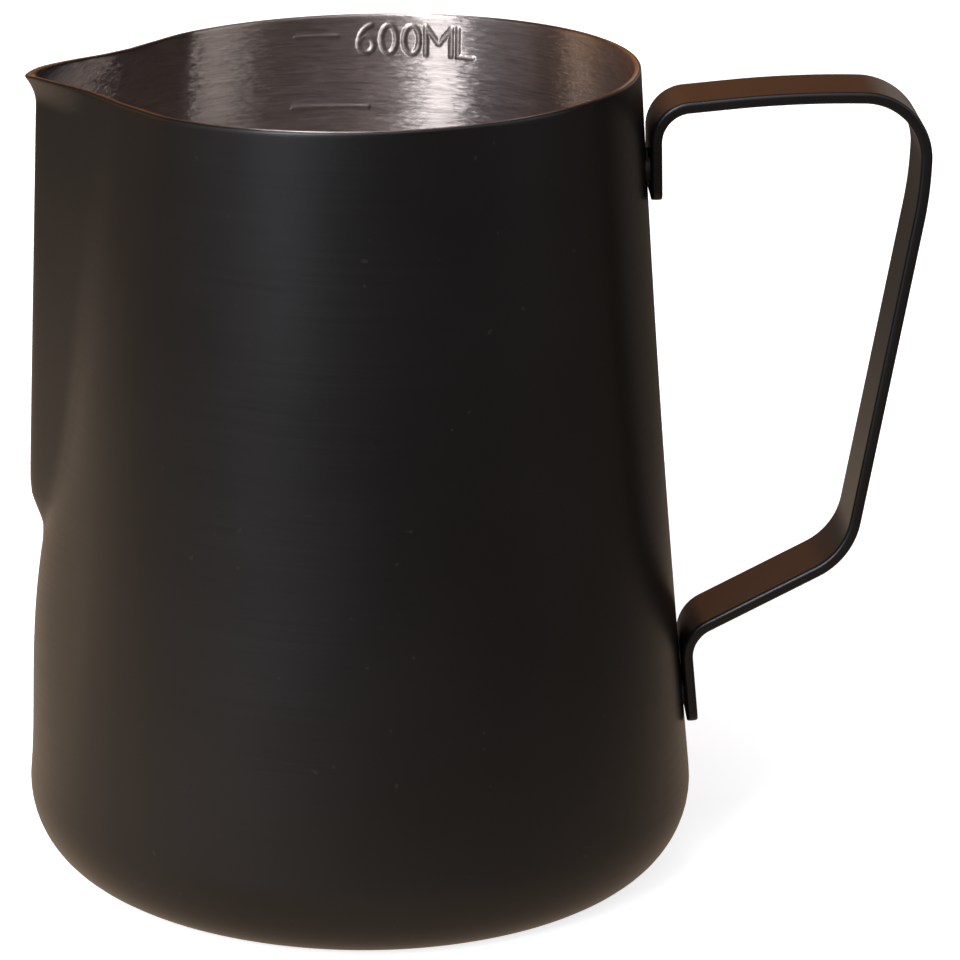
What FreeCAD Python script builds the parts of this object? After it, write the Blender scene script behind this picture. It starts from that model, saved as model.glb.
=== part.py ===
import FreeCAD
import Part
import math
import os

# Milk frothing pitcher, 600 ml: a pressed steel jug, coated black on the outside up to the rim,
# with a pouring spout pushed out of its wall and a bent strap handle spot welded to it.
#
# Millimetres, +Z up. The origin is on the jug's axis, in the plane that the jug stands on.
# The handle points along +X and the spout along -X, so the jug is symmetric about Y = 0.
# A "turn" is an angle about Z, in radians, measured from the spout's middle plane.

# Layers of the wall
COATING = 0.15
SHEET = 0.8

# Round wall: an elliptical corner, then a taper with a slight waist
WIDEST_RADIUS = 47.54
CORNER_WIDTH = 8.4
CORNER_HEIGHT = 10.15
RIM_RADIUS = 37.4
RIM_HEIGHT = 114.4
WAIST = 0.5

# Bottom: a flat standing ring around a shallow recess with a 45 degree step
RECESS_RADIUS = 31.5
RECESS_DEPTH = 1.0

# Rim seen from the side: it drops in a straight line from the handle to the root of the spout,
# stops falling along the lip, and drops again at its tip
RIM_DROP = 2.4
SPOUT_ROOT_X = -33.6
LIP_LIFT = 0.54
LIP_LENGTH = 11.2
LIP_TIP_DROP = 7.9
LIP_END_X = -47.6

# Spout: two flat walls that meet in a rounded, almost upright ridge, which tucks in below
RIDGE_LOW_X = 47.14
RIDGE_LOW_Z = 52.0
RIDGE_LEAN = 0.0325
RIDGE_TUCK = 0.42
RIDGE_TUCK_ROUND = 1.1
SPOUT_HALF_ANGLE = math.radians(53.7)
NOSE_ROUND = 0.03
CREASE_ROUND = 0.9
LIP_FLARE = 1.95
LIP_FLARE_LIMIT = 1.3
LIP_FLARE_HEIGHT = 4.25
LIP_FLARE_TURN = math.radians(20.4)
LIP_FLARE_EASE = 2.27

# The wall swells below the spout, where the metal was drawn out
SWELL = 1.78
SWELL_TOP_Z = 66.0
SWELL_TURN = math.radians(30)
SWELL_EASE = 1.5

# Beside the spout the wall is drawn in slightly, most of all at the rim
DENT = 0.4
DENT_LOW_Z = 86.0
DENT_TURN = math.radians(35)
DENT_SPREAD = math.radians(12)

# Strap handle, given by the middle line of its thickness
STRAP_WIDTH = 12.2
STRAP_THICKNESS = 1.6
STRAP_EDGE_ROUND = 0.5
STRAP_END_ROUND = 1.5
TAB_GAP = 0.1
UPPER_TAB_END_Z = 96.3
UPPER_TAB_SLOPE = -0.04
LOWER_TAB_END_Z = 19.6
ARM_START = (45.9, 109.75)
ARM_SLOPE = 0.115
ARM_TOP_Z = 111.2
GRIP_TOP_X = 76.6
GRIP_LOW = (69.85, 53.7)
GRIP_SLOPE = 0.1526
DIAGONAL_END = (62.6, 41.85)
DIAGONAL_SLOPE = 0.552
UPPER_BEND = 4.9
ARM_BOW = 155.0
UPPER_CORNER = 8.8
GRIP_BOW = 55.0
LOWER_CORNER = 10.3
LOWER_BEND = 5.2

# Spot welds: two side by side under each tab, with the electrode's dimple on the tab's face
WELD_DIAMETER = 3.6
WELD_SPACING = 6.0
WELD_FROM_TAB_END = 3.8
DIMPLE_DIAMETER = 3.4
DIMPLE_DEPTH = 0.15

# How finely the jug's form is sampled before a surface is put through it
SECTION_POINTS = 48
NOSE_SHARE = 0.2
CORNER_ROWS = 9
WALL_ROWS = 30
LIP_POINTS = 12
STEP = 1e-4

# Reach of the cutting solids, and how much further each inner form stands above the rim
REACH = 150.0
WELD_REACH = 16.0
UNCUT_WALL = 1.5

# The corner's ellipse runs a little past its widest point, to meet the taper without a kink.
TAPER_SLOPE = (RIM_RADIUS - WIDEST_RADIUS - WAIST * math.pi) / (RIM_HEIGHT - CORNER_HEIGHT)
CORNER_SWEEP = 0.5 * math.pi + math.atan(-TAPER_SLOPE * CORNER_HEIGHT / CORNER_WIDTH)


def corner_point(sweep):
    """Radius and height on the corner's ellipse; sweep 0 is the edge of the flat bottom."""
    radius = WIDEST_RADIUS - CORNER_WIDTH * (1.0 - math.sin(sweep))
    return radius, CORNER_HEIGHT * (1.0 - math.cos(sweep))


WALL_FOOT_RADIUS, WALL_FOOT_Z = corner_point(CORNER_SWEEP)


def smooth_step(share):
    """0 below 0, 1 above 1, and a smooth rise between them."""
    share = min(max(share, 0.0), 1.0)
    return share * share * (3.0 - 2.0 * share)


def window(turn, spread):
    """1 at a turn of 0, falling smoothly to 0 at the given spread."""
    if abs(turn) >= spread:
        return 0.0
    return math.cos(0.5 * math.pi * turn / spread) ** 2


def smooth_max(first, second, blend):
    """The larger of two values, with the corner between them rounded."""
    share = max(blend - abs(first - second), 0.0) / blend
    return max(first, second) + share * share * blend / 4.0


def wall_radius(z):
    """Outer radius of the plain round wall above the corner."""
    share = (z - WALL_FOOT_Z) / (RIM_HEIGHT - WALL_FOOT_Z)
    straight = WALL_FOOT_RADIUS + (RIM_RADIUS - WALL_FOOT_RADIUS) * share
    return straight - WAIST * math.sin(math.pi * share)


def ridge_distance(z):
    """How far the spout's ridge stands from the axis."""
    below = RIDGE_LOW_Z - z
    tucked = 0.5 * (below + math.hypot(below, RIDGE_TUCK_ROUND))
    return RIDGE_LOW_X + RIDGE_LEAN * below - RIDGE_TUCK * tucked


def round_wall(turn, z):
    """Outer radius of the round wall, with the swell and the dents that the spout leaves in it."""
    share = min(max((z - WALL_FOOT_Z) / (SWELL_TOP_Z - WALL_FOOT_Z), 0.0), 1.0)
    swell = SWELL * math.sin(math.pi * share) ** SWELL_EASE * window(turn, SWELL_TURN)
    drawn_in = DENT * smooth_step((z - DENT_LOW_Z) / (RIM_HEIGHT - DENT_LOW_Z))
    return wall_radius(z) + swell - drawn_in * window(abs(turn) - DENT_TURN, DENT_SPREAD)


def spout_wall(turn, z):
    """Outer radius of the spout's flat walls and of the rounded ridge between them."""
    side = min(abs(turn), 0.5 * math.pi - SPOUT_HALF_ANGLE)
    across = math.hypot(math.sin(side), NOSE_ROUND) - NOSE_ROUND
    return ridge_distance(z) / (math.cos(side) + across / math.tan(SPOUT_HALF_ANGLE))


def outer_radius(turn, z):
    """Outer radius of the jug above the corner, with the spout and its flared lip."""
    share = (z - RIM_HEIGHT + RIM_DROP) / LIP_FLARE_HEIGHT + 1.0
    aside = max(1.0 - (turn / LIP_FLARE_TURN) ** 2, 0.0) ** LIP_FLARE_EASE
    flare = LIP_FLARE * min(max(share, 0.0), LIP_FLARE_LIMIT) ** 2 * aside
    return smooth_max(round_wall(turn, z), spout_wall(turn, z), CREASE_ROUND) + flare


def place(turn, radius, z):
    """The point at a turn, a radius and a height. A turn of 0 is on -X."""
    return FreeCAD.Vector(-radius * math.cos(turn), radius * math.sin(turn), z)


def section_turn(share):
    """Turns crowd together at the spout's nose, where the section bends most."""
    return math.pi * (NOSE_SHARE * share + (1.0 - NOSE_SHARE) * share ** 3)


SECTION_SHARES = [index / SECTION_POINTS for index in range(SECTION_POINTS + 1)]
SECTION_TURNS = [section_turn(share) for share in SECTION_SHARES]


def half_curve(points, sideways):
    """Smooth edge through the points, leaving and reaching the plane Y = 0 at right angles."""
    curve = Part.BSplineCurve()
    curve.interpolate(Points=points, Parameters=SECTION_SHARES,
                      InitialTangent=sideways, FinalTangent=-sideways)
    return curve.toShape()


def section_wire(points):
    """Closed section from its points on one side, from the spout's ridge to the handle's side."""
    mirrored = [FreeCAD.Vector(point.x, -point.y, point.z) for point in points]
    sideways = FreeCAD.Vector(0, 1, 0)
    halves = [half_curve(points, sideways), half_curve(mirrored, -sideways)]
    return Part.Wire(halves)


def corner_section(sweep, inset):
    """Circle on the corner's ellipse, moved inwards square to the surface by the inset."""
    radius, z = corner_point(sweep)
    outward = FreeCAD.Vector(math.sin(sweep) * CORNER_HEIGHT, 0, -math.cos(sweep) * CORNER_WIDTH)
    outward.normalize()
    radius -= inset * outward.x
    z -= inset * outward.z
    return section_wire([place(turn, radius, z) for turn in SECTION_TURNS])


def wall_point(turn, z, inset):
    """Point of the wall's section at height z, moved inwards so the wall is the inset thick."""
    here = place(turn, outer_radius(turn, z), z)
    after = place(turn + STEP, outer_radius(turn + STEP, z), z)
    before = place(turn - STEP, outer_radius(turn - STEP, z), z)
    above = place(turn, outer_radius(turn, z + STEP), z)
    outward = (before - after).cross(FreeCAD.Vector(0, 0, 1)).normalize()
    slope = (above - here).dot(outward) / STEP
    return here - outward * inset * math.hypot(1.0, slope)


def wall_section(z, inset):
    """Closed section of the wall and the spout at one height."""
    return section_wire([wall_point(turn, z, inset) for turn in SECTION_TURNS])


def recess(inset):
    """The hollow under the bottom, grown by the inset."""
    radius = RECESS_RADIUS + inset * (math.sqrt(2.0) - 1.0)
    depth = 2.0 * RECESS_DEPTH
    foot = FreeCAD.Vector(0, 0, inset - RECESS_DEPTH)
    return Part.makeCone(radius + RECESS_DEPTH, radius + RECESS_DEPTH - depth, depth, foot)


def jug_form(inset, uncut_height):
    """Solid of the jug's outer form, moved inwards by the inset and standing above the rim."""
    sweeps = [CORNER_SWEEP * index / CORNER_ROWS for index in range(CORNER_ROWS)]
    sections = [corner_section(sweep, inset) for sweep in sweeps]
    wall_height = RIM_HEIGHT + uncut_height - WALL_FOOT_Z
    for index in range(WALL_ROWS + 1):
        sections.append(wall_section(WALL_FOOT_Z + wall_height * index / WALL_ROWS, inset))
    return Part.makeLoft(sections, True, False).cut(recess(inset))


def rim_point(x):
    """Point of the rim line, seen from the side."""
    slope = RIM_DROP / (RIM_RADIUS - SPOUT_ROOT_X)
    share = max((SPOUT_ROOT_X - x) / LIP_LENGTH, 0.0)
    lift = LIP_LIFT * math.sin(0.5 * math.pi * min(share, 1.0))
    drop = LIP_TIP_DROP * max(share - 1.0, 0.0) ** 2
    return FreeCAD.Vector(x, 0, RIM_HEIGHT + slope * (x - RIM_RADIUS) + lift - drop)


def above_rim():
    """Everything above the rim line, to cut the wall off with."""
    tip, root, back = rim_point(LIP_END_X), rim_point(SPOUT_ROOT_X), rim_point(REACH)
    lip_length = LIP_END_X - SPOUT_ROOT_X
    lip_points = [rim_point(SPOUT_ROOT_X + lip_length * index / LIP_POINTS)
                  for index in range(LIP_POINTS + 1)]
    lip = Part.BSplineCurve()
    lip.interpolate(Points=lip_points)
    front = FreeCAD.Vector(-REACH, 0, tip.z)
    front_top = FreeCAD.Vector(-REACH, 0, 2 * REACH)
    back_top = FreeCAD.Vector(REACH, 0, 2 * REACH)
    outline = [
        Part.makeLine(front, tip),
        lip.toShape(),
        Part.makeLine(root, back),
        Part.makeLine(back, back_top),
        Part.makeLine(back_top, front_top),
        Part.makeLine(front_top, front),
    ]
    face = Part.Face(Part.Wire(Part.__sortEdges__(outline)))
    face.translate(FreeCAD.Vector(0, -REACH, 0))
    return face.extrude(FreeCAD.Vector(0, 2 * REACH, 0))


def crossing(first, first_way, second, second_way):
    """Where two lines in the XZ plane meet, each given by a point and a direction."""
    turned = FreeCAD.Vector(-second_way.z, 0, second_way.x)
    along = (second - first).dot(turned) / first_way.dot(turned)
    return first + first_way * along


def strap_corners():
    """Corners of the strap's middle line, from the upper tab's end to the lower tab's end,
    each with the radius that it is bent to."""
    stand_off = TAB_GAP + 0.5 * STRAP_THICKNESS
    wall_slope = (wall_radius(LOWER_TAB_END_Z + STEP) - wall_radius(LOWER_TAB_END_Z)) / STEP
    upper_end = FreeCAD.Vector(wall_radius(UPPER_TAB_END_Z) + stand_off, 0, UPPER_TAB_END_Z)
    lower_end = FreeCAD.Vector(wall_radius(LOWER_TAB_END_Z) + stand_off, 0, LOWER_TAB_END_Z)
    upper_tab = FreeCAD.Vector(UPPER_TAB_SLOPE, 0, 1)
    lower_tab = FreeCAD.Vector(wall_slope, 0, 1)
    arm_start = FreeCAD.Vector(ARM_START[0], 0, ARM_START[1])
    arm = FreeCAD.Vector(1, 0, ARM_SLOPE)
    top = FreeCAD.Vector(0, 0, ARM_TOP_Z)
    level = FreeCAD.Vector(1, 0, 0)
    outer_corner = FreeCAD.Vector(GRIP_TOP_X, 0, ARM_TOP_Z)
    upright = FreeCAD.Vector(0, 0, 1)
    grip_low = FreeCAD.Vector(GRIP_LOW[0], 0, GRIP_LOW[1])
    grip = FreeCAD.Vector(GRIP_SLOPE, 0, 1)
    diagonal_end = FreeCAD.Vector(DIAGONAL_END[0], 0, DIAGONAL_END[1])
    diagonal = FreeCAD.Vector(1, 0, DIAGONAL_SLOPE)
    return [
        (upper_end, 0.0),
        (crossing(upper_end, upper_tab, arm_start, arm), UPPER_BEND),
        (crossing(arm_start, arm, top, level), ARM_BOW),
        (outer_corner, UPPER_CORNER),
        (crossing(outer_corner, upright, grip_low, grip), GRIP_BOW),
        (crossing(grip_low, grip, diagonal_end, diagonal), LOWER_CORNER),
        (crossing(diagonal_end, diagonal, lower_end, lower_tab), LOWER_BEND),
        (lower_end, 0.0),
    ]


def left_of(way):
    """Unit vector in the XZ plane, square to a direction and to its left seen from -Y."""
    return FreeCAD.Vector(-way.z, 0, way.x).normalize()


def offset_line(corners, offset):
    """Edges of the bent middle line moved to its left by the offset, and the last edge's end."""
    edges = []
    start = corners[0][0] + left_of(corners[1][0] - corners[0][0]) * offset
    for before, (corner, radius), after in zip(corners, corners[1:], corners[2:]):
        way_in = (corner - before[0]).normalize()
        way_out = (after[0] - corner).normalize()
        half_turn = 0.5 * way_in.getAngle(way_out)
        tangent = radius * math.tan(half_turn)
        bisector = (way_out - way_in).normalize()
        middle_way = (way_in + way_out).normalize()
        bend_start = corner - way_in * tangent + left_of(way_in) * offset
        bend_end = corner + way_out * tangent + left_of(way_out) * offset
        sagitta = radius / math.cos(half_turn) - radius
        bend_middle = corner + bisector * sagitta + left_of(middle_way) * offset
        edges.append(Part.makeLine(start, bend_start))
        edges.append(Part.Arc(bend_start, bend_middle, bend_end).toShape())
        start = bend_end
    end = corners[-1][0] + left_of(corners[-1][0] - corners[-2][0]) * offset
    edges.append(Part.makeLine(start, end))
    return edges, end


def handle_strap():
    """Flat strip bent into the handle, with rounded tab corners and eased long edges."""
    corners = strap_corners()
    half = 0.5 * STRAP_THICKNESS
    left_edges, left_end = offset_line(corners, half)
    right_edges, right_end = offset_line(corners, -half)
    start_side = left_of(corners[1][0] - corners[0][0]) * half
    first = Part.makeLine(corners[0][0] - start_side, corners[0][0] + start_side)
    last = Part.makeLine(left_end, right_end)
    outline = Part.Wire(Part.__sortEdges__([first, last] + left_edges + right_edges))
    face = Part.Face(outline)
    face.translate(FreeCAD.Vector(0, -0.5 * STRAP_WIDTH, 0))
    strap = face.extrude(FreeCAD.Vector(0, STRAP_WIDTH, 0))
    return rounded_long_edges(rounded_tab_ends(strap, corners))


def rounded_tab_ends(strap, corners):
    """Rounds the two corners at the end of each tab, seen square to the tab."""
    ends = [corners[0][0], corners[-1][0]]
    chosen = []
    for edge in strap.Edges:
        middle = edge.CenterOfMass
        at_side = abs(abs(middle.y) - 0.5 * STRAP_WIDTH) < STEP
        flat = FreeCAD.Vector(middle.x, 0, middle.z)
        if at_side and min(flat.distanceToPoint(end) for end in ends) < STEP:
            chosen.append(edge)
    return strap.makeFillet(STRAP_END_ROUND, chosen)


def rounded_long_edges(strap):
    """Eases the long edges at both sides of the strip, down to the rounded tab corners."""
    chosen = []
    for edge in strap.Edges:
        at_one_side = abs(edge.Vertexes[0].Y - edge.Vertexes[-1].Y) < 0.5 * STRAP_WIDTH
        if at_one_side and edge.Length > STRAP_THICKNESS + STEP:
            chosen.append(edge)
    return strap.makeFillet(STRAP_EDGE_ROUND, chosen)


def weld_places(tab_end, bend):
    """Middle points of a tab's two spot welds, in the middle of the tab's thickness, and the
    direction out of the tab."""
    along_tab = (bend - tab_end).normalize()
    middle = tab_end + along_tab * WELD_FROM_TAB_END
    sideways = FreeCAD.Vector(0, 0.5 * WELD_SPACING, 0)
    outward = left_of(along_tab) * -1.0
    return [middle - sideways, middle + sideways], outward


def weld_nuggets(places, outward, steel, strap):
    """Fused metal that fills the gap between the steel wall and the back of a tab."""
    nuggets = []
    for middle in places:
        foot = middle - outward * WELD_REACH
        rod = Part.makeCylinder(0.5 * WELD_DIAMETER, WELD_REACH, foot, outward)
        nuggets.append(rod.cut(steel).cut(strap))
    return Part.makeCompound(nuggets)


def dimpled(strap, places, outward):
    """Strap with the electrode's shallow round dimple over each spot weld."""
    half = 0.5 * DIMPLE_DIAMETER
    ball_radius = (half * half + DIMPLE_DEPTH * DIMPLE_DEPTH) / (2.0 * DIMPLE_DEPTH)
    out = 0.5 * STRAP_THICKNESS - DIMPLE_DEPTH + ball_radius
    for middle in places:
        strap = strap.cut(Part.makeSphere(ball_radius, middle + outward * out))
    return strap


def main():
    os.makedirs("parts", exist_ok=True)
    outer = jug_form(0.0, UNCUT_WALL).cut(above_rim())
    steel = jug_form(COATING, 2.0 * UNCUT_WALL).cut(above_rim())
    hollow = jug_form(COATING + SHEET, 3.0 * UNCUT_WALL)
    corners = [corner for corner, radius in strap_corners()]
    strap = handle_strap()
    upper_places, upper_outward = weld_places(corners[0], corners[1])
    lower_places, lower_outward = weld_places(corners[-1], corners[-2])
    upper_welds = weld_nuggets(upper_places, upper_outward, steel, strap)
    lower_welds = weld_nuggets(lower_places, lower_outward, steel, strap)
    strap = dimpled(strap, upper_places, upper_outward)
    strap = dimpled(strap, lower_places, lower_outward)
    nodes = {
        "jug_shell": steel.cut(hollow),
        "jug_coating": outer.cut(steel).cut(upper_welds).cut(lower_welds),
        "handle_strap": strap,
        "upper_weld_nuggets": upper_welds,
        "lower_weld_nuggets": lower_welds,
    }
    for name, shape in nodes.items():
        shape.exportStep("parts/" + name + ".step")


main()
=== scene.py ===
import math

import bpy
import numpy as np
from mathutils import Matrix, Vector


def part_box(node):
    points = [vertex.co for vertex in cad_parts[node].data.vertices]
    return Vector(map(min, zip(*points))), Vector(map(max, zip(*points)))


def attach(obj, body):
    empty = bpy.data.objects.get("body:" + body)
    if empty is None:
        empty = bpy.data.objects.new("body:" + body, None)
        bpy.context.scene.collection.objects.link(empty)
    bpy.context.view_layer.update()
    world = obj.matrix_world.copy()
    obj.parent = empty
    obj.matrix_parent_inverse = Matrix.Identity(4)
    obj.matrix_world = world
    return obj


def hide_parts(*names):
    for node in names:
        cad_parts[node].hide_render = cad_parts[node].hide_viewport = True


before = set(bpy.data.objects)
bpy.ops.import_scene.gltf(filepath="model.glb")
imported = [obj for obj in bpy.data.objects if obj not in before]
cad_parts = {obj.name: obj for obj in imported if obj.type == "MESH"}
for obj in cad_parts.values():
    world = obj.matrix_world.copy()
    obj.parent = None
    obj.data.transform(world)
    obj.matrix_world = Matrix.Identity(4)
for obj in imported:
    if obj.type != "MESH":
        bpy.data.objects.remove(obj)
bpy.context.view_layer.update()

# A milk frothing pitcher: a round jug pressed from stainless steel sheet, bare and brushed inside
# and coated black outside, with a pulled spout on -X and a flat strap handle on +X that is spot
# welded to the wall at both its tabs.
#
# Shapes are worked out in millimetres in the frame's axes, and become metres in add_piece().
# A "turn" is an angle about Z, in radians, measured from the spout's middle plane on -X.
# A "level" is a height at the full rim height; levels follow the sloping rim line elsewhere.
MM = 0.001

coat_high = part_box("jug_coating")[1]
strap_low, strap_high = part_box("handle_strap")

# Layers of the wall, and the size of the jug
COATING = 0.15
SHEET = 0.8
WIDEST_RADIUS = coat_high.y / MM
RIM_HEIGHT = coat_high.z / MM
RIM_RADIUS = 37.4
CORNER_WIDTH = 8.4
CORNER_HEIGHT = 10.15
WAIST = 0.5
RECESS_RADIUS = 31.5
RECESS_DEPTH = 1.0
RECESS_ROUND = 0.9

# The rim's bare edge is rounded over, and the coating ends on the outer part of that round
EDGE_ROUND = 0.4
COAT_EDGE_ROUND = 0.36
COAT_TUCK = 0.45

# Rim line, seen from the side
RIM_DROP = 2.4
SPOUT_ROOT_X = -33.6
LIP_LIFT = 0.54
LIP_LENGTH = 11.2
LIP_TIP_DROP = 7.9

# Spout: two flat walls that meet in a rounded ridge, creases where they meet the round wall, a
# flared lip, the swell of the wall under the ridge, and the dents beside it
RIDGE_LOW_X = 47.14
RIDGE_LOW_Z = 52.0
RIDGE_LEAN = 0.0325
RIDGE_TUCK = 0.42
RIDGE_TUCK_ROUND = 1.1
SPOUT_HALF_ANGLE = math.radians(53.7)
NOSE_ROUND = 0.03
CREASE_ROUND = 0.9
RIM_CREASE_ROUND = 0.25
RIM_CREASE_LOW_Z = 92.0
LIP_FLARE = 1.95
LIP_FLARE_LIMIT = 1.3
LIP_FLARE_HEIGHT = 4.25
LIP_FLARE_TURN = math.radians(20.4)
LIP_FLARE_EASE = 2.27
SWELL = 1.78
SWELL_TOP_Z = 66.0
SWELL_TURN = math.radians(30)
SWELL_EASE = 1.5
DENT = 0.4
DENT_LOW_Z = 86.0
DENT_TURN = math.radians(35)
DENT_SPREAD = math.radians(12)

# Strap handle, its middle line seen from the side, and its spot welds
STRAP_WIDTH = (strap_high.y - strap_low.y) / MM
STRAP_THICKNESS = 1.6
STRAP_EDGE_ROUND = 0.5
STRAP_END_ROUND = 1.5
STRAP_END_THINNING = 0.6
TAB_GAP = 0.1
UPPER_TAB_END_Z = 96.3
UPPER_TAB_SLOPE = -0.04
LOWER_TAB_END_Z = 19.6
ARM_START = (45.9, 109.75)
ARM_SLOPE = 0.115
ARM_TOP_Z = 111.2
GRIP_TOP_X = 76.6
GRIP_LOW = (69.85, 53.7)
GRIP_SLOPE = 0.1526
DIAGONAL_END = (62.6, 41.85)
DIAGONAL_SLOPE = 0.552
BENDS = (4.9, 155.0, 8.8, 55.0, 10.3, 5.2)
WELD_SPACING = 6.0
WELD_FROM_TAB_END = 3.8
DIMPLE_DIAMETER = 3.4
DIMPLE_DEPTH = 0.15

# Measuring marks pressed into the inside of the wall on the far side, in millimetres along the
# wall from the middle of that side (towards the handle is positive) and in height
MARK_RELIEF = 0.13
MARK_HALF_WIDTH = 0.46
SCRIBED_RELIEF = 0.03
SCRIBED_HALF_WIDTH = 0.2
FULL_LINE = ((-10.6, 109.8), (-4.5, 109.8))
NEXT_LINE = ((-11.0, 99.15), (0.1, 99.15))
SCRIBED_LINE = ((-6.4, 103.0), (4.5, 103.0))
LABEL_START = -1.35
LABEL_BASE = 107.4
LABEL_HEIGHT = 4.15
MARKED_HALF_LENGTH = 20.0
MARKED_LOW_Z = 96.0

# How finely the meshes are divided. Each list gives stops and the spacing up to each: degrees
# around the jug, then levels up the wall and radii on the bottom, in millimetres. The spacing is
# finest at the pressed marks, at the spout's creases and at the lip.
STEEL_DEGREES = ((-60, 3.0), (-42, 1.2), (-28, 0.4), (28, 1.0), (42, 0.4), (60, 1.2),
                 (71.5, 2.0), (116, 0.22), (180, 3.0))
STEEL_LEVELS = ((99.4, 2.8), (101.4, 0.15), (103.4, 0.9), (105.2, 0.15), (107.8, 0.9),
                (114.0, 0.15), (RIM_HEIGHT, 0.4))
STEEL_HIDDEN_LEVELS = ((48.0, 4.0), (53.0, 0.8), (104.0, 3.0), (RIM_HEIGHT, 0.9))
COAT_DEGREES = ((-60, 2.0), (-24, 0.8), (24, 0.4), (60, 0.8), (180, 2.0))
COAT_LEVELS = ((48.0, 2.0), (53.0, 0.5), (104.0, 2.0), (RIM_HEIGHT, 0.4))
COAT_HIDDEN_LEVELS = ((48.0, 4.0), (53.0, 0.8), (104.0, 3.0), (RIM_HEIGHT, 0.5))
BOTTOM_SPACINGS = ((28.0, 4.0), (34.5, 0.5), (WIDEST_RADIUS - CORNER_WIDTH, 1.2))
CORNER_COUNT = 16
STEEL_CURL_COUNT = 8
COAT_CURL_COUNT = 5
STRAP_SPACING = 0.9
STRAP_TAB_LENGTH = 8.0
STRAP_TAB_SPACING = 0.2
STRAP_FACE_COUNT = 41
STRAP_EDGE_COUNT = 6
STRAP_BEND_DEGREES = 3.0
RIM_ROUNDS = 3
STEP = 1e-3
FAR_AWAY = 1e3

# Materials. Noise scales are waves per metre; a brush has them around the jug and across it.
COAT_COLOUR = (0.0060, 0.0056, 0.0054)
COAT_WORN = 1.35
DUST_COLOUR = (0.06, 0.055, 0.05)
COAT_BUMP = 0.000012
STEEL_BRIGHT = (0.68, 0.59, 0.54)
STEEL_DULL = (0.455, 0.39, 0.355)
STEEL_NUDGE = 0.07
STEEL_BUMP = 0.00002
FINE_BRUSH = (260.0, 4200.0)
BROAD_BRUSH = (110.0, 1100.0)
SIDEWAYS_BRUSH = (900.0, 3200.0)
COAT_BRUSH = (40.0, 3000.0)
QUARTER_TURN = 0.25
WELD_DARK = (0.035, 0.03, 0.028)
WELD_LIGHT = (0.09, 0.075, 0.065)
WELD_BUMP = 0.00005
WHITE = (1.0, 1.0, 1.0)

# Floor, in metres. The camera sees it almost white; the jug reflects a warm patch of it.
FLOOR_SIZE = 8.0
FLOOR_GAP = 0.0002
FLOOR_PAINT = ((0.78, 0.77, 0.76), (0.82, 0.81, 0.80))
FLOOR_GLOW = 0.75
FLOOR_GLOW_START = 0.3
FLOOR_GLOW_END = 1.5
FLOOR_NEAR = (0.68, 0.51, 0.37)
FLOOR_FAR = (0.13, 0.10, 0.08)
FLOOR_PATCH = (-0.15, 0.05, 0.0)
FLOOR_PATCH_INNER = 0.08
FLOOR_PATCH_OUTER = 0.36

# The dim room that the jug reflects: its base, then glows with their azimuth and elevation in
# degrees, the cosine of the angle to their edge, and their colour
ROOM_BASE = (0.008, 0.010, 0.016)
ROOM_GLOWS = (
    (-30.0, 15.0, 0.8, (0.30, 0.33, 0.42)),
    (-60.0, 8.0, 0.88, (0.70, 0.66, 0.74)),
    (-85.0, 8.0, 0.88, (0.16, 0.10, 0.06)),
    (-110.0, 8.0, 0.92, (0.62, 0.34, 0.12)),
    (-160.0, 8.0, 0.88, (0.22, 0.11, 0.06)),
    (175.0, 8.0, 0.92, (0.14, 0.04, 0.02)),
    (150.0, 8.0, 0.92, (0.60, 0.54, 0.45)),
    (0.0, 60.0, 0.7, (0.85, 0.82, 0.90)),
    (180.0, 30.0, 0.88, (0.28, 0.12, 0.02)),
)

# Softboxes: name, azimuth, elevation, distance, width, height, power, colour
SOFTBOXES = (
    ("key", -34.0, 34.0, 1.4, 0.42, 1.3, 15.2, (0.88, 0.93, 1.0)),
    ("right_side", 70.0, 30.0, 1.4, 0.75, 1.2, 2.5, (1.0, 0.97, 1.0)),
    ("overhead", -56.0, 74.0, 1.2, 0.6, 0.6, 3.0, WHITE),
)

# Camera: elevation, then its small yaw, pitch and roll, in degrees; places in millimetres
CAMERA_ANGLES = (18.0, 1.692, -0.397, -0.550)
CAMERA_DISTANCE = 556.2
CAMERA_TARGET_Z = 58.1
CAMERA_LENS = 147.7
CAMERA_SENSOR = 36.0


def smooth_step(share):
    """0 below 0, 1 above 1, and a smooth rise between them."""
    share = np.clip(share, 0.0, 1.0)
    return share * share * (3.0 - 2.0 * share)


def window(turn, spread):
    """1 at a turn of 0, falling smoothly to 0 at the given spread."""
    return np.cos(0.5 * math.pi * np.clip(turn / spread, -1.0, 1.0)) ** 2


def smooth_max(first, second, blend):
    """The larger of two values, with the corner between them rounded."""
    share = np.maximum(blend - np.abs(first - second), 0.0) / blend
    return np.maximum(first, second) + share * share * blend / 4.0


TAPER_SLOPE = (RIM_RADIUS - WIDEST_RADIUS - WAIST * math.pi) / (RIM_HEIGHT - CORNER_HEIGHT)
CORNER_SWEEP = 0.5 * math.pi + math.atan(-TAPER_SLOPE * CORNER_HEIGHT / CORNER_WIDTH)
WALL_FOOT_RADIUS = WIDEST_RADIUS - CORNER_WIDTH * (1.0 - math.sin(CORNER_SWEEP))
WALL_FOOT_Z = CORNER_HEIGHT * (1.0 - math.cos(CORNER_SWEEP))


def wall_radius(z):
    """Outer radius of the plain round wall above the corner."""
    share = (z - WALL_FOOT_Z) / (RIM_HEIGHT - WALL_FOOT_Z)
    straight = WALL_FOOT_RADIUS + (RIM_RADIUS - WALL_FOOT_RADIUS) * share
    return straight - WAIST * np.sin(math.pi * share)


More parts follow.
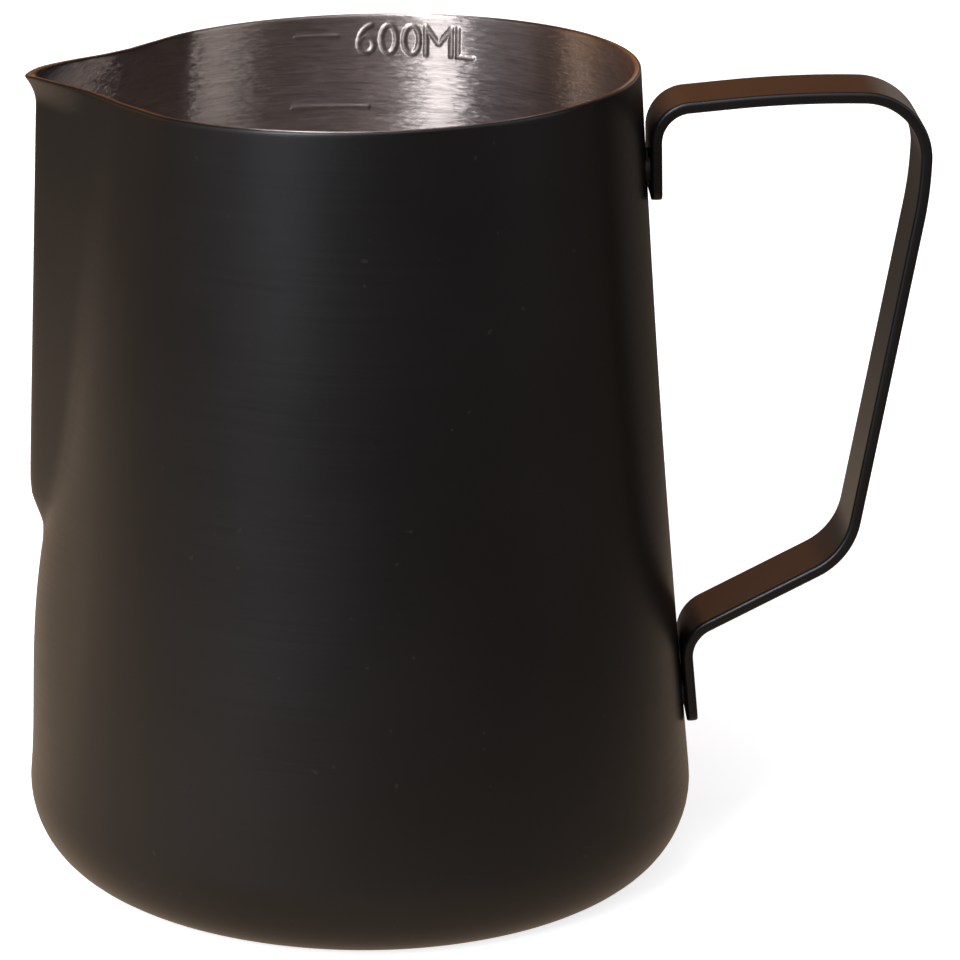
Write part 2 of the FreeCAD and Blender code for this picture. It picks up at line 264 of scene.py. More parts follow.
def ridge_distance(z):
    """How far the spout's ridge stands from the axis."""
    below = RIDGE_LOW_Z - z
    tucked = 0.5 * (below + np.hypot(below, RIDGE_TUCK_ROUND))
    return RIDGE_LOW_X + RIDGE_LEAN * below - RIDGE_TUCK * tucked


def round_wall(turn, z):
    """Outer radius of the round wall, with the swell and the dents that the spout leaves in it."""
    share = np.clip((z - WALL_FOOT_Z) / (SWELL_TOP_Z - WALL_FOOT_Z), 0.0, 1.0)
    swell = SWELL * np.sin(math.pi * share) ** SWELL_EASE * window(turn, SWELL_TURN)
    drawn_in = DENT * smooth_step((z - DENT_LOW_Z) / (RIM_HEIGHT - DENT_LOW_Z))
    return wall_radius(z) + swell - drawn_in * window(np.abs(turn) - DENT_TURN, DENT_SPREAD)


def spout_wall(turn, z):
    """Outer radius of the spout's flat walls and of the rounded ridge between them."""
    side = np.minimum(np.abs(turn), 0.5 * math.pi - SPOUT_HALF_ANGLE)
    across = np.hypot(np.sin(side), NOSE_ROUND) - NOSE_ROUND
    return ridge_distance(z) / (np.cos(side) + across / math.tan(SPOUT_HALF_ANGLE))


def outer_radius(turn, z):
    """Outer radius of the jug above the corner, with the spout and its flared lip."""
    share = (z - RIM_HEIGHT + RIM_DROP) / LIP_FLARE_HEIGHT + 1.0
    aside = np.clip(1.0 - (turn / LIP_FLARE_TURN) ** 2, 0.0, 1.0) ** LIP_FLARE_EASE
    flare = LIP_FLARE * np.clip(share, 0.0, LIP_FLARE_LIMIT) ** 2 * aside
    upward = smooth_step((z - RIM_CREASE_LOW_Z) / (RIM_HEIGHT - RIM_CREASE_LOW_Z))
    crease = CREASE_ROUND + (RIM_CREASE_ROUND - CREASE_ROUND) * upward
    return smooth_max(round_wall(turn, z), spout_wall(turn, z), crease) + flare


def place(turn, radius, z):
    """Points at turns, radii and heights, as an array with X, Y and Z last."""
    turn, radius, z = np.broadcast_arrays(turn, radius, z)
    return np.stack([-radius * np.cos(turn), radius * np.sin(turn), z], axis=-1)


def wall_points(turn, z, inset):
    """Points of the wall at their heights, moved inwards so that the wall is the inset thick."""
    here = place(turn, outer_radius(turn, z), z)
    after = place(turn + STEP, outer_radius(turn + STEP, z), z)
    before = place(turn - STEP, outer_radius(turn - STEP, z), z)
    above = place(turn, outer_radius(turn, z + STEP), z)
    along = after - before
    outward = np.stack([-along[..., 1], along[..., 0], np.zeros_like(z)], axis=-1)
    outward /= np.linalg.norm(outward, axis=-1, keepdims=True)
    slope = ((above - here) * outward).sum(axis=-1) / STEP
    return here - outward * (inset * np.hypot(1.0, slope))[..., None]


def corner_points(turn, sweep, inset):
    """Points on the elliptical corner between the bottom and the wall."""
    across = math.sin(sweep) * CORNER_HEIGHT
    down = math.cos(sweep) * CORNER_WIDTH
    length = math.hypot(across, down)
    radius = WIDEST_RADIUS - CORNER_WIDTH * (1.0 - math.sin(sweep)) - inset * across / length
    return place(turn, radius, CORNER_HEIGHT * (1.0 - math.cos(sweep)) + inset * down / length)


def bottom_points(turn, radius, inset):
    """Points on the bottom: the recess, its rounded step, and the standing ring."""
    step_radius = RECESS_RADIUS + inset * (math.sqrt(2.0) - 1.0)
    share = (step_radius - radius) / (2.0 * RECESS_ROUND) + 0.5 * (1.0 - RECESS_DEPTH / 2.0)
    return place(turn, radius, inset + RECESS_DEPTH * smooth_step(share))


def rim_line(x):
    """Height of the rim, seen from the side: a straight line that stops falling along the lip
    and drops again at its tip."""
    slope = RIM_DROP / (RIM_RADIUS - SPOUT_ROOT_X)
    share = np.maximum((SPOUT_ROOT_X - x) / LIP_LENGTH, 0.0)
    lift = LIP_LIFT * np.sin(0.5 * math.pi * np.minimum(share, 1.0))
    drop = LIP_TIP_DROP * np.maximum(share - 1.0, 0.0) ** 2
    return RIM_HEIGHT + slope * (x - RIM_RADIUS) + lift - drop


def rim_at(turn):
    """Height of the rim at each turn. The radius there depends on the height, so it is found in
    a few rounds."""
    height = np.full_like(turn, RIM_HEIGHT)
    for _ in range(RIM_ROUNDS):
        height = rim_line(-outer_radius(turn, height) * np.cos(turn))
    return height


def graded(start, stops):
    """Values from the start up to each stop in turn, at that stop's spacing."""
    values = [np.array([start])]
    for stop, spacing in stops:
        count = max(1, round((stop - start) / spacing))
        values.append(np.linspace(start, stop, count + 1)[1:])
        start = stop
    return np.concatenate(values)


CORNER_SWEEPS = np.linspace(0.0, CORNER_SWEEP, CORNER_COUNT)[:-1]
BOTTOM_RADII = graded(0.0, BOTTOM_SPACINGS)[1:-1]


def surface_rows(turn, levels, inset, edge):
    """Rows of points from the bottom's middle, over the corner and up the wall to the rim. The
    edge is how far below the rim the last row ends."""
    rows = [bottom_points(turn, radius, inset) for radius in BOTTOM_RADII]
    rows += [corner_points(turn, sweep, inset) for sweep in CORNER_SWEEPS]
    reach = (rim_at(turn) - edge - WALL_FOOT_Z) / (RIM_HEIGHT - WALL_FOOT_Z)
    for level in levels:
        z = WALL_FOOT_Z + (level - WALL_FOOT_Z) * reach
        rows.append(wall_points(turn, z, np.full_like(z, inset) + mark_relief(turn, z, inset)))
    return rows


def curl(turn, first_inset, last_inset, height, count):
    """Rows that round a layer's edge over, from one inset to the other. They start and end where
    the wall's last row is, and rise by the height between."""
    rows = []
    middle = 0.5 * (first_inset + last_inset)
    half = 0.5 * (first_inset - last_inset)
    for angle in np.linspace(0.0, math.pi, count + 2)[1:-1]:
        z = rim_at(turn) - EDGE_ROUND + height * math.sin(angle)
        rows.append(wall_points(turn, z, np.full_like(z, middle + half * math.cos(angle))))
    return rows


def ring_mesh(rows):
    """Vertices and faces of a closed surface from rows of points around Z, with a point added at
    the middle of the first row and of the last."""
    count = len(rows[0])
    first = rows[0].mean(axis=0)
    last = rows[-1].mean(axis=0)
    points = np.concatenate(rows + [first[None], last[None]])
    here = np.arange(count)
    following = (here + 1) % count
    faces = []
    for row in range(len(rows) - 1):
        low, high = row * count, (row + 1) * count
        quads = np.stack([low + here, low + following, high + following, high + here], axis=1)
        faces += quads.tolist()
    pole = len(rows) * count
    top = (len(rows) - 1) * count
    faces += np.stack([np.full(count, pole), following, here], axis=1).tolist()
    faces += np.stack([np.full(count, pole + 1), top + here, top + following], axis=1).tolist()
    return points, faces


def polyline_distance(s, z, line):
    """Distance from each place on the wall to a line through the given points."""
    nearest = np.full_like(s, FAR_AWAY)
    for (s0, z0), (s1, z1) in zip(line, line[1:]):
        length_squared = (s1 - s0) ** 2 + (z1 - z0) ** 2
        along = np.clip(((s - s0) * (s1 - s0) + (z - z0) * (z1 - z0)) / length_squared, 0.0, 1.0)
        gap = np.hypot(s - s0 - along * (s1 - s0), z - z0 - along * (z1 - z0))
        nearest = np.minimum(nearest, gap)
    return nearest


def oval(centre_s, centre_z, half_width, half_height, start=0.0, end=360.0, count=36):
    """Part of an oval as a line of points; 0 degrees is towards the handle, 90 is up."""
    points = []
    for angle in np.radians(np.linspace(start, end, count)):
        points.append((centre_s + half_width * math.cos(angle),
                       centre_z + half_height * math.sin(angle)))
    return points


def digit_zero(left, base, width, height):
    """Strokes of a nought."""
    return [oval(left + 0.5 * width, base + 0.5 * height, 0.5 * width, 0.5 * height)]


def digit_six(left, base, width, height):
    """Strokes of a six: its bowl, and the tail that rises from its left side."""
    bowl = 0.29 * height
    tail = oval(left + width, base + bowl, width, height - bowl, 100.0, 180.0, 16)
    return [oval(left + 0.5 * width, base + bowl, 0.5 * width, bowl), tail]


def letter_m(left, base, width, height):
    """Strokes of an M."""
    right, top = left + width, base + height
    return [[(left, base), (left, top), (left + 0.5 * width, base + 0.4 * height),
             (right, top), (right, base)]]


def letter_l(left, base, width, height):
    """Strokes of an L."""
    return [[(left, base + height), (left, base), (left + width, base)]]


def mark_lines():
    """Every pressed stroke: two level lines, and the capacity beside the upper one. Each glyph
    has its width and the gap after it."""
    lines = [FULL_LINE, NEXT_LINE]
    glyphs = [(digit_six, 2.2, 1.1), (digit_zero, 2.2, 1.1), (digit_zero, 2.3, 1.0),
              (letter_m, 3.85, 1.0), (letter_l, 2.35, 0.0)]
    left = LABEL_START
    for glyph, width, gap in glyphs:
        lines += glyph(left, LABEL_BASE, width, LABEL_HEIGHT)
        left += width + gap
    return lines


MARK_LINES = mark_lines()


def mark_relief(turn, z, inset):
    """How far the pressed marks stand in from the wall. Only the bare inside has them."""
    relief = np.zeros_like(z)
    if inset < SHEET:
        return relief
    s = (turn - 0.5 * math.pi) * (wall_radius(z) - inset)
    near = (np.abs(s) < MARKED_HALF_LENGTH) & (z > MARKED_LOW_Z)
    for line in MARK_LINES:
        bead = MARK_RELIEF * bead_height(s[near], z[near], line, MARK_HALF_WIDTH)
        relief[near] = np.maximum(relief[near], bead)
    scribed = bead_height(s[near], z[near], SCRIBED_LINE, SCRIBED_HALF_WIDTH)
    relief[near] = np.maximum(relief[near], SCRIBED_RELIEF * scribed)
    return relief


def bead_height(s, z, line, half_width):
    """Height across a rounded bead that follows a line: 1 on the line, 0 beside it."""
    gap = polyline_distance(s, z, line)
    return np.clip(1.0 - (gap / half_width) ** 2, 0.0, 1.0)


def steel_piece():
    """The pressed sheet as one closed skin: bare inside, rounded bare edge at the rim, and the
    side that the coating hides."""
    turn = np.radians(graded(-180.0, STEEL_DEGREES)[:-1])
    inner_levels = graded(WALL_FOOT_Z, STEEL_LEVELS)
    hidden_levels = graded(WALL_FOOT_Z, STEEL_HIDDEN_LEVELS)
    rows = surface_rows(turn, inner_levels, COATING + SHEET, EDGE_ROUND)
    rows += curl(turn, COATING + SHEET, COATING, EDGE_ROUND, STEEL_CURL_COUNT)
    rows += surface_rows(turn, hidden_levels, COATING, EDGE_ROUND)[::-1]
    steel = add_piece("jug_steel", *ring_mesh(rows))
    note_marks(steel)
    return steel


def note_marks(steel):
    """Tells the material where the pressed marks are, in an attribute of the mesh."""
    points = np.array([vertex.co for vertex in steel.data.vertices]) / MM
    x, y, z = points.T
    turn = np.arctan2(y, -x)
    inside = np.hypot(x, y) < wall_radius(z) - COATING - 0.5 * SHEET
    height = mark_relief(turn, z, COATING + SHEET) / MARK_RELIEF * inside
    attribute = steel.data.attributes.new("mark", "FLOAT", "POINT")
    attribute.data.foreach_set("value", height.astype(np.float32))


def coat_piece():
    """The black coating as a thin closed skin around the outside. It rounds in over the outer
    corner of the rim's bare edge and ends under the edge's surface."""
    turn = np.radians(graded(-180.0, COAT_DEGREES)[:-1])
    hidden_levels = graded(WALL_FOOT_Z, COAT_HIDDEN_LEVELS)
    outer_levels = graded(WALL_FOOT_Z, COAT_LEVELS)
    rows = surface_rows(turn, hidden_levels, COATING, EDGE_ROUND)
    rows += curl(turn, COAT_TUCK, 0.0, COAT_EDGE_ROUND, COAT_CURL_COUNT)
    rows += surface_rows(turn, outer_levels, 0.0, EDGE_ROUND)[::-1]
    return add_piece("jug_coat", *ring_mesh(rows))


def add_piece(name, points, faces):
    """Smooth-shaded mesh object from points in millimetres."""
    mesh = bpy.data.meshes.new(name)
    mesh.from_pydata((points * MM).tolist(), [], faces)
    mesh.shade_smooth()
    piece = bpy.data.objects.new(name, mesh)
    bpy.context.scene.collection.objects.link(piece)
    return piece


def crossing(first, first_way, second, second_way):
    """Where two lines in the XZ plane meet, each given by a point and a direction."""
    turned = np.array([-second_way[1], second_way[0]])
    along = (second - first) @ turned / (first_way @ turned)
    return first + first_way * along


def strap_corners():
    """Corners of the strap's middle line in the XZ plane, from the upper tab's end round to the
    lower tab's end."""
    stand_off = TAB_GAP + 0.5 * STRAP_THICKNESS
    wall_slope = (wall_radius(LOWER_TAB_END_Z + STEP) - wall_radius(LOWER_TAB_END_Z)) / STEP
    upper_end = np.array([wall_radius(UPPER_TAB_END_Z) + stand_off, UPPER_TAB_END_Z])
    lower_end = np.array([wall_radius(LOWER_TAB_END_Z) + stand_off, LOWER_TAB_END_Z])
    upper_tab = np.array([UPPER_TAB_SLOPE, 1.0])
    lower_tab = np.array([wall_slope, 1.0])
    arm_start, arm = np.array(ARM_START), np.array([1.0, ARM_SLOPE])
    outer_corner = np.array([GRIP_TOP_X, ARM_TOP_Z])
    level, upright = np.array([1.0, 0.0]), np.array([0.0, 1.0])
    grip_low, grip = np.array(GRIP_LOW), np.array([GRIP_SLOPE, 1.0])
    diagonal_end, diagonal = np.array(DIAGONAL_END), np.array([1.0, DIAGONAL_SLOPE])
    return [
        upper_end,
        crossing(upper_end, upper_tab, arm_start, arm),
        crossing(arm_start, arm, outer_corner, level),
        outer_corner,
        crossing(outer_corner, upright, grip_low, grip),
        crossing(grip_low, grip, diagonal_end, diagonal),
        crossing(diagonal_end, diagonal, lower_end, lower_tab),
        lower_end,
    ]


def bent_line(corners, radii, spacing):
    """Points along a line through the corners, with each corner bent to its radius."""
    points = [corners[0]]
    for before, corner, after, radius in zip(corners, corners[1:], corners[2:], radii):
        way_in = (corner - before) / np.linalg.norm(corner - before)
        way_out = (after - corner) / np.linalg.norm(after - corner)
        turned = math.acos(np.clip(way_in @ way_out, -1.0, 1.0))
        tangent = radius * math.tan(0.5 * turned)
        side = math.copysign(1.0, way_in[0] * way_out[1] - way_in[1] * way_out[0])
        normal = np.array([-way_in[1], way_in[0]]) * side
        start = corner - way_in * tangent
        middle = start + normal * radius
        points += straight(points[-1], start, spacing)
        by_angle = round(math.degrees(turned) / STRAP_BEND_DEGREES)
        count = max(3, round(radius * turned / spacing), by_angle)
        for angle in np.linspace(0.0, turned, count + 1)[1:]:
            points.append(middle - normal * radius * math.cos(angle)
                          + way_in * radius * math.sin(angle))
    points += straight(points[-1], corners[-1], spacing)
    return np.array(points)


def straight(start, end, spacing):
    """Evenly spaced points after the start, up to and including the end."""
    count = max(1, round(np.linalg.norm(end - start) / spacing))
    return [start + (end - start) * index / count for index in range(1, count + 1)]


def strap_section(half_width, half_thickness):
    """Rounded rectangle as (across, through) points in order, with closely spaced broad faces."""
    flat = half_width - STRAP_EDGE_ROUND
    depth = half_thickness - STRAP_EDGE_ROUND
    half = [(flat * share, half_thickness) for share in np.linspace(1.0, -1.0, STRAP_FACE_COUNT)]
    eased = np.linspace(0.0, 0.5 * math.pi, STRAP_EDGE_COUNT)
    for angle in eased[1:]:
        half.append((-flat - STRAP_EDGE_ROUND * math.sin(angle),
                     depth + STRAP_EDGE_ROUND * math.cos(angle)))
    for angle in eased[:-1]:
        half.append((-flat - STRAP_EDGE_ROUND * math.cos(angle),
                     -depth - STRAP_EDGE_ROUND * math.sin(angle)))
    half = np.array(half)
    return np.concatenate([half, -half])


def weld_dimples(across, along):
    """Depth of a tab's two electrode dimples, at distances across the tab and from its end."""
    gap = np.hypot(along - WELD_FROM_TAB_END, np.abs(across) - 0.5 * WELD_SPACING)
    share = np.clip(gap / (0.5 * DIMPLE_DIAMETER), 0.0, 1.0)
    return DIMPLE_DEPTH * (1.0 - share * share)


def handle_piece():
    """Flat strip swept along its bent middle line, with rounded tab corners, eased edges and
    the dimples of the spot welds."""
    line = bent_line(strap_corners(), BENDS, STRAP_SPACING)
    line = refine_ends(line, STRAP_TAB_LENGTH, STRAP_TAB_SPACING)
    way = np.gradient(line, axis=0)
    way /= np.linalg.norm(way, axis=1, keepdims=True)
    steps = np.linalg.norm(np.diff(line, axis=0), axis=1)
    from_start = np.concatenate([[0.0], np.cumsum(steps)])
    from_end = from_start[-1] - from_start
    rows = []
    for index, (centre, ahead) in enumerate(zip(line, way)):
        to_tip = min(from_start[index], from_end[index])
        narrowing = round_off(to_tip, STRAP_END_ROUND)
        thinning = STRAP_END_THINNING * round_off(to_tip, STRAP_EDGE_ROUND)
        outline = strap_section(0.5 * STRAP_WIDTH - narrowing, 0.5 * STRAP_THICKNESS - thinning)
        across, through = outline.T
        right_face = through < STRAP_EDGE_ROUND - 0.5 * STRAP_THICKNESS
        left_face = through > 0.5 * STRAP_THICKNESS - STRAP_EDGE_ROUND
        through = through + right_face * weld_dimples(across, from_start[index])
        through = through - left_face * weld_dimples(across, from_end[index])
        rows.append(np.stack([centre[0] - ahead[1] * through, across,
                              centre[1] + ahead[0] * through], axis=-1))
    return add_piece("handle", *ring_mesh(rows))


def round_off(distance, radius):
    """How far a rounded corner falls short of the square one, at a distance from its end."""
    left = radius - min(distance, radius)
    return radius - math.sqrt(radius ** 2 - left ** 2)


def refine_ends(line, length, spacing):
    """The same line with closely spaced points over a length at both ends."""
    fine_start = straight_part(line[0], line, length, spacing)
    fine_end = straight_part(line[-1], line[::-1], length, spacing)[::-1]
    keep = (np.linalg.norm(line - line[0], axis=1) > length)
    keep &= (np.linalg.norm(line - line[-1], axis=1) > length)
    return np.concatenate([fine_start, line[keep], fine_end])


def straight_part(tip, line, length, spacing):
    """Closely spaced points from a tip along the straight tab."""
    way = (line[1] - line[0]) / np.linalg.norm(line[1] - line[0])
    return tip + way * np.arange(0.0, length, spacing)[:, None]


class Nodes:
    """A material's or the world's node tree, with short ways to add and join nodes."""

    def __init__(self, owner):
        owner.use_nodes = True
        self.tree = owner.node_tree
        self.tree.nodes.clear()

    def add(self, kind, inputs=None, **settings):
        """A node with its settings, and with its inputs set to values or joined to sockets."""
        node = self.tree.nodes.new(kind)
        for name, value in settings.items():
            setattr(node, name, value)
        for name, value in (inputs or {}).items():
            self.feed(node.inputs[name], value)
        return node

    def feed(self, socket, value):
        """Joins an input to another node's output, or sets it to a plain value."""
        if isinstance(value, bpy.types.NodeSocket):
            self.tree.links.new(value, socket)
        else:
            socket.default_value = value

    def math(self, operation, *values):
        """Result of a maths node."""
        return self.add("ShaderNodeMath", dict(enumerate(values)), operation=operation).outputs[0]

    def noise(self, vector, scale, detail=2.0, roughness=0.5):
        """Noise between 0 and 1 at a vector."""
        inputs = {"Vector": vector, "Scale": scale, "Detail": detail, "Roughness": roughness}
        return self.add("ShaderNodeTexNoise", inputs).outputs["Fac"]

    def spread(self, value, low, high, new_low, new_high):
        """A value between low and high stretched to new limits."""
        inputs = {"Value": value, "From Min": low, "From Max": high,
                  "To Min": new_low, "To Max": new_high}
        return self.add("ShaderNodeMapRange", inputs).outputs[0]

    def blend(self, share, first, second, mode="MIX"):
        """Colour between two colours, or the first with a share of the second added."""
        node = self.add("ShaderNodeMix", data_type="RGBA", blend_type=mode)
        self.feed(node.inputs[0], share)
        self.feed(node.inputs[6], first)
        self.feed(node.inputs[7], second)
        return node.outputs[2]

    def smooth_share(self, value, start, end):
        """0 at the start, 1 at the end, and a smooth rise between them."""
        return self.add("ShaderNodeMapRange", {"Value": value, "From Min": start, "From Max": end},
                        interpolation_type="SMOOTHSTEP").outputs[0]

    def vector(self, operation, inputs, output=0):
        """Result of a vector maths node."""
        return self.add("ShaderNodeVectorMath", inputs, operation=operation).outputs[output]

    def emission(self, tint, strength=1.0):
        """Shader that glows in a colour."""
        return self.add("ShaderNodeEmission", {"Color": tint, "Strength": strength}).outputs[0]

    def background(self, tint):
        """Shader of the world's background in a colour."""
        return self.add("ShaderNodeBackground", {"Color": tint, "Strength": 1.0}).outputs[0]

    def for_camera(self, reflected, seen):
        """One shader for what reflects in the jug, and another for what the camera sees."""
        camera_ray = self.add("ShaderNodeLightPath").outputs["Is Camera Ray"]
        return self.add("ShaderNodeMixShader", {0: camera_ray, 1: reflected, 2: seen}).outputs[0]

    def bump(self, height, distance, strength):
        """Normal of a surface with a fine relief; the distance is in metres."""
        inputs = {"Height": height, "Distance": distance, "Strength": strength}
        return self.add("ShaderNodeBump", inputs).outputs["Normal"]

    def place(self):
        """Object coordinates, which are metres in the frame's axes."""
        return self.add("ShaderNodeTexCoord").outputs["Object"]

    def ring_vector(self, around, across):
        """Object coordinates stretched so that noise runs around the jug's axis: slow around it,
        and fast up the wall and along the radius."""
        parts = self.add("ShaderNodeSeparateXYZ", {"Vector": self.place()})
        x, y, z = parts.outputs
        radius = self.math("SQRT", self.math("ADD", self.math("MULTIPLY", x, x),
                                             self.math("MULTIPLY", y, y)))
        inputs = {"X": self.math("MULTIPLY", x, around), "Y": self.math("MULTIPLY", y, around),
                  "Z": self.math("MULTIPLY", self.math("ADD", z, radius), across)}
        return self.add("ShaderNodeCombineXYZ", inputs).outputs[0]

    def finish(self, shader, output="ShaderNodeOutputMaterial"):
        """Joins the last shader to the tree's output."""
        self.add(output, {"Surface": shader})


def colour(red, green, blue):
    """Opaque colour for a node's input."""
    return (red, green, blue, 1.0)


def steel_material():
    """Stainless steel brushed around the jug's axis, with the dull patches that pressing leaves
    in it. The brush lines spread reflections up and down, and nudge them sideways. The pressed
    marks stand out of the brushing, so they are brushed less."""
    material = bpy.data.materials.new("steel")
    nodes = Nodes(material)
    place = nodes.place()
    fine = nodes.noise(nodes.ring_vector(*FINE_BRUSH), 1.0, 3.0, 0.65)
    broad = nodes.noise(nodes.ring_vector(*BROAD_BRUSH), 1.0, 2.0, 0.5)
    sideways = nodes.noise(nodes.ring_vector(*SIDEWAYS_BRUSH), 1.0, 2.0, 0.6)
    patches = nodes.noise(place, 55.0, 3.0, 0.55)
    grain = nodes.math("ADD", nodes.math("MULTIPLY", fine, 0.7), nodes.math("MULTIPLY", broad, 0.3))
    tone = nodes.blend(nodes.spread(grain, 0.35, 0.65, 0.0, 1.0), colour(*STEEL_DULL),
                       colour(*STEEL_BRIGHT))
    tone = nodes.blend(nodes.spread(patches, 0.45, 0.8, 0.0, 0.35), tone, colour(*STEEL_DULL))
    rough = nodes.math("ADD", nodes.spread(grain, 0.3, 0.7, 0.33, 0.42),
                       nodes.spread(patches, 0.3, 0.7, -0.02, 0.03))
    mark = nodes.add("ShaderNodeAttribute", attribute_name="mark").outputs["Fac"]
    brushed = nodes.spread(mark, 0.25, 0.6, 1.0, 0.75)
    around = nodes.add("ShaderNodeTangent", direction_type="RADIAL", axis="Z").outputs[0]
    amount = nodes.spread(sideways, 0.2, 0.8, -STEEL_NUDGE, STEEL_NUDGE)
    nudge = nodes.vector("SCALE", {0: around, "Scale": amount})
    turned = nodes.vector("ADD", {0: nodes.bump(grain, STEEL_BUMP, 0.6), 1: nudge})
    normal = nodes.vector("NORMALIZE", {0: turned})
    shader = nodes.add("ShaderNodeBsdfPrincipled", {
        "Base Color": tone, "Metallic": 1.0, "Roughness": rough, "Anisotropic": brushed,
        "Anisotropic Rotation": QUARTER_TURN, "Normal": normal, "Tangent": around,
    })
    nodes.finish(shader.outputs[0])
    return material


def coat_material(name, brushed_under):
    """Satin black coating: fine orange peel, faint traces of the brushed metal where that is
    under it, specks of dust, and slight differences in sheen from handling."""
    material = bpy.data.materials.new(name)
    nodes = Nodes(material)
    place = nodes.place()
    peel = nodes.noise(place, 2200.0, 2.0, 0.6)
    traces = peel
    if brushed_under:
        traces = nodes.noise(nodes.ring_vector(*COAT_BRUSH), 1.0, 2.0, 0.6)
    sheen = nodes.noise(place, 38.0, 3.0, 0.55)
    dust = nodes.noise(place, 700.0, 1.0, 0.5)
    worn = colour(*(COAT_WORN * value for value in COAT_COLOUR))
    tone = nodes.blend(nodes.spread(sheen, 0.3, 0.7, 0.0, 1.0), colour(*COAT_COLOUR), worn)
    tone = nodes.blend(nodes.spread(dust, 0.76, 0.8, 0.0, 0.2), tone, colour(*DUST_COLOUR))
    rough = nodes.math("ADD", nodes.spread(traces, 0.3, 0.7, 0.32, 0.35),
                       nodes.spread(sheen, 0.3, 0.7, -0.02, 0.02))
    height = nodes.math("ADD", nodes.math("MULTIPLY", peel, 0.8),
                        nodes.math("MULTIPLY", traces, 0.2))
    shader = nodes.add("ShaderNodeBsdfPrincipled", {
        "Base Color": tone, "Roughness": rough, "IOR": 1.5,
        "Normal": nodes.bump(height, COAT_BUMP, 0.5),
    })
    nodes.finish(shader.outputs[0])
    return material


def weld_material():
    """Dull fused steel, tinted by heat and half covered by the coating."""
    material = bpy.data.materials.new("weld")
    nodes = Nodes(material)
    place = nodes.place()
    mottle = nodes.noise(place, 900.0, 3.0, 0.6)
    tone = nodes.blend(nodes.spread(mottle, 0.35, 0.65, 0.0, 1.0), colour(*WELD_DARK),
                       colour(*WELD_LIGHT))
    shader = nodes.add("ShaderNodeBsdfPrincipled", {
        "Base Color": tone, "Metallic": 0.6,
        "Roughness": nodes.spread(mottle, 0.3, 0.7, 0.45, 0.65),
        "Normal": nodes.bump(mottle, WELD_BUMP, 0.6),
    })
    nodes.finish(shader.outputs[0])
    return material


def build_pitcher():
    """Every shown piece with its material. The weld nuggets are shown as they are in the frame."""
    pieces = ((steel_piece(), "jug_shell", steel_material()),
              (coat_piece(), "jug_coating", coat_material("coat", True)),
              (handle_piece(), "handle_strap", coat_material("handle_coat", False)))
    for piece, node, material in pieces:
        piece.data.materials.append(material)
        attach(piece, "root")
        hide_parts(node)
    weld = weld_material()
    for node in ("upper_weld_nuggets", "lower_weld_nuggets"):
        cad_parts[node].data.materials.clear()
        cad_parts[node].data.materials.append(weld)


def build_floor():
    """Wide pale floor that stays almost white around the jug, with the jug's soft shadow."""
    bpy.ops.mesh.primitive_plane_add(size=FLOOR_SIZE, location=(0, 0, -FLOOR_GAP))
    floor = bpy.context.object
    floor.name = "floor"
    material = bpy.data.materials.new("floor")
    nodes = Nodes(material)
    place = nodes.place()
    mottle = nodes.noise(place, 3.0, 3.0, 0.5)
    dark_paint, light_paint = FLOOR_PAINT
    paint = nodes.blend(nodes.spread(mottle, 0.3, 0.7, 0.0, 1.0), colour(*dark_paint),
                        colour(*light_paint))
    matt = nodes.add("ShaderNodeBsdfDiffuse", {"Color": paint, "Roughness": 0.6}).outputs[0]
    away = nodes.vector("LENGTH", {0: place}, "Value")
    strength = nodes.spread(away, FLOOR_GLOW_START, FLOOR_GLOW_END, FLOOR_GLOW, 1.0)
    glow = nodes.emission(colour(*WHITE), strength)
    seen = nodes.add("ShaderNodeAddShader", {0: matt, 1: glow}).outputs[0]
    from_patch = nodes.vector("DISTANCE", {0: place, 1: FLOOR_PATCH}, "Value")
    share = nodes.smooth_share(from_patch, FLOOR_PATCH_INNER, FLOOR_PATCH_OUTER)
    reflected = nodes.blend(share, colour(*FLOOR_NEAR), colour(*FLOOR_FAR))
    nodes.finish(nodes.for_camera(nodes.emission(reflected), seen))
    floor.data.materials.append(material)


def toward(azimuth, elevation):
    """Unit vector; the azimuth is measured from -Y towards +X, both angles in degrees."""
    turn, lift = math.radians(azimuth), math.radians(elevation)
    return (math.sin(turn) * math.cos(lift), -math.cos(turn) * math.cos(lift), math.sin(lift))


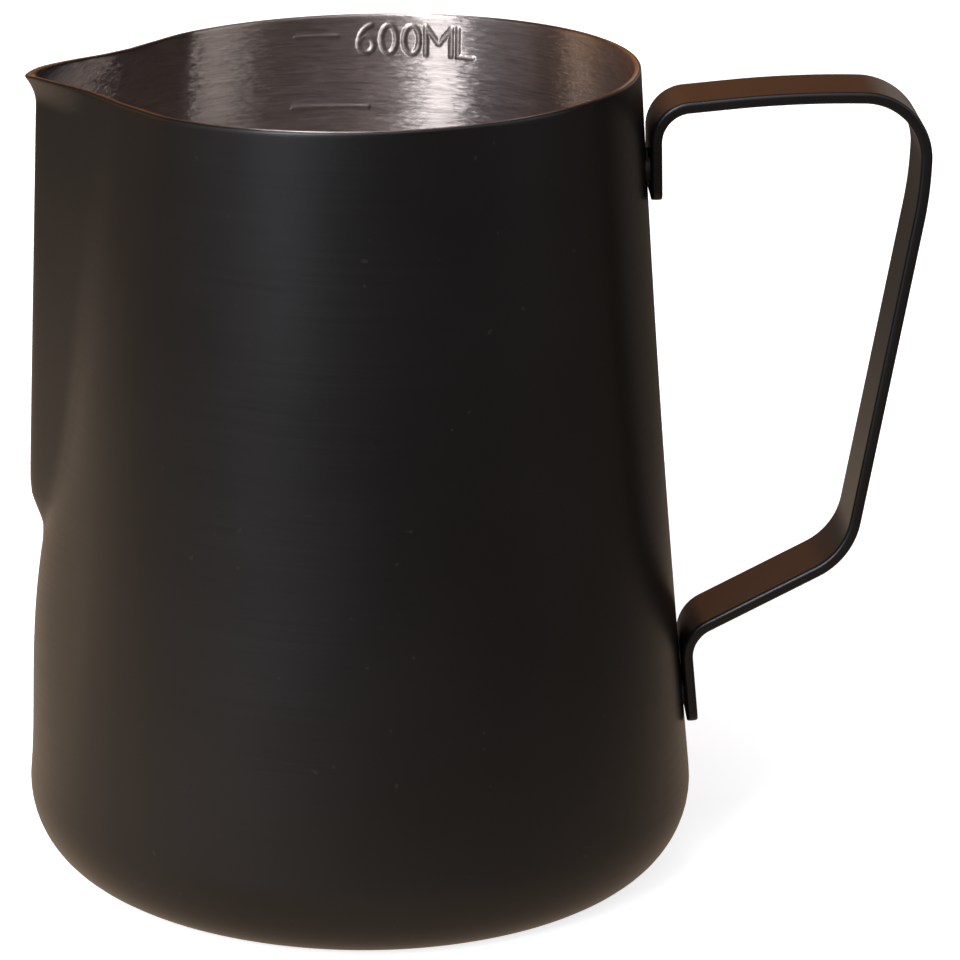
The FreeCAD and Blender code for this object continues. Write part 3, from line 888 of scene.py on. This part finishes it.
def build_surroundings():
    """White backdrop for the camera; the jug itself reflects a dim room with soft glows in it."""
    world = bpy.data.worlds.new("studio")
    bpy.context.scene.world = world
    nodes = Nodes(world)
    way = nodes.add("ShaderNodeTexCoord").outputs["Generated"]
    glow = colour(*ROOM_BASE)
    for azimuth, elevation, edge, tint in ROOM_GLOWS:
        facing = nodes.vector("DOT_PRODUCT", {0: way, 1: toward(azimuth, elevation)}, "Value")
        glow = nodes.blend(nodes.smooth_share(facing, edge, 1.0), glow, colour(*tint), "ADD")
    seen = nodes.background(colour(*WHITE))
    nodes.finish(nodes.for_camera(nodes.background(glow), seen), "ShaderNodeOutputWorld")


def add_softbox(name, azimuth, elevation, distance, width, height, power, tint):
    """Rectangular area light aimed at the jug's middle."""
    light = bpy.data.lights.new(name, "AREA")
    light.shape = "RECTANGLE"
    light.size = width
    light.size_y = height
    light.energy = power
    light.color = tint
    lamp = bpy.data.objects.new(name, light)
    bpy.context.scene.collection.objects.link(lamp)
    away = Vector(toward(azimuth, elevation))
    target = Vector((0.0, 0.0, 0.5 * RIM_HEIGHT * MM))
    lamp.location = target + away * distance
    lamp.rotation_mode = "QUATERNION"
    lamp.rotation_quaternion = away.to_track_quat("Z", "Y")


def build_camera():
    """Camera in front of the jug's near side and a little above it."""
    lift, yaw, pitch, roll = (math.radians(value) for value in CAMERA_ANGLES)
    place = Vector((0.0, -CAMERA_DISTANCE * math.cos(lift),
                    CAMERA_TARGET_Z + CAMERA_DISTANCE * math.sin(lift)))
    forward = Vector((0.0, math.cos(lift), -math.sin(lift)))
    right = Vector((1.0, 0.0, 0.0))
    up = Vector((0.0, math.sin(lift), math.cos(lift)))
    forward, right = (forward * math.cos(yaw) + right * math.sin(yaw),
                      right * math.cos(yaw) - forward * math.sin(yaw))
    forward, up = (forward * math.cos(pitch) + up * math.sin(pitch),
                   up * math.cos(pitch) - forward * math.sin(pitch))
    right, up = (right * math.cos(roll) - up * math.sin(roll),
                 up * math.cos(roll) + right * math.sin(roll))
    data = bpy.data.cameras.new("camera")
    data.sensor_width = CAMERA_SENSOR
    data.lens = CAMERA_LENS
    camera = bpy.data.objects.new("camera", data)
    turned = Matrix((right, up, -forward)).transposed().to_4x4()
    camera.matrix_world = Matrix.Translation(place * MM) @ turned
    bpy.context.scene.collection.objects.link(camera)
    bpy.context.scene.camera = camera


build_pitcher()
build_floor()
build_surroundings()
for softbox in SOFTBOXES:
    add_softbox(*softbox)
build_camera()
bpy.context.scene.view_settings.view_transform = "Standard"
